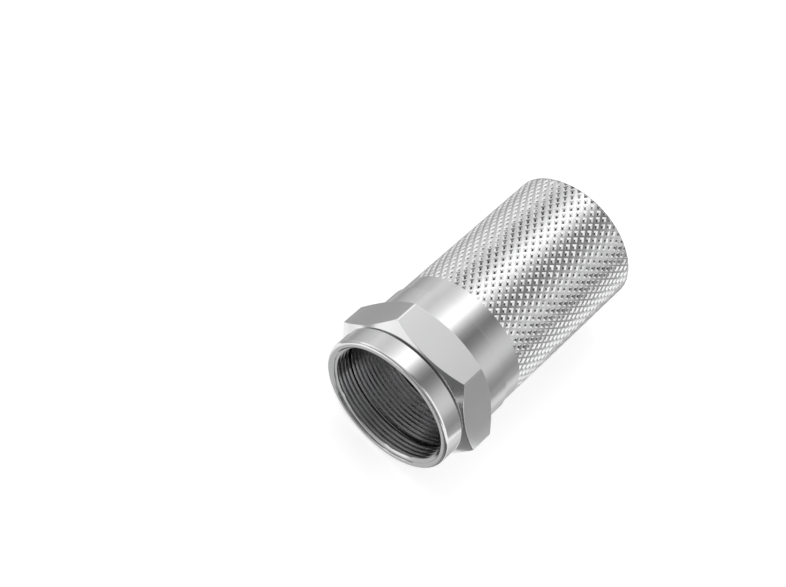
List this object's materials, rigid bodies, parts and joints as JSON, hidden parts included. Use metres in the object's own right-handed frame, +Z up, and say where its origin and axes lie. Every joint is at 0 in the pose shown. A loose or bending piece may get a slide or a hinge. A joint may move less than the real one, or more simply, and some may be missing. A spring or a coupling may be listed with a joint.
{
  "type": "f connector",
  "caption": "Twist-on F connector: hexagonal swivel nut with a fine threaded mouth, diamond-knurled cable body and an inner retaining ferrule.",
  "frame": {"origin": "on the connector's axis, half way between the nut's mouth and the cable end", "axes": "+X along the axis towards the cable end, +Z up, square to the hexagon flat that lies uppermost"},
  "size_m": [0.0212, 0.0128, 0.011],
  "materials": {
    "plated_nut": "bright nickel plating",
    "plated_body": "bright nickel plating over diamond knurling",
    "plated_ferrule": "nickel plating"
  },
  "bodies": {
    "body": {"knurled_body": "plated_body", "retaining_ferrule": "plated_ferrule"},
    "nut": {"swivel_nut": "plated_nut"}
  },
  "joints": [
    {"name": "nut_spin", "type": "hinge", "parent": "body", "child": "nut", "pos_m": [-0.00437, 0, 0], "axis": [1, 0, 0], "continuous": true}
  ]
}
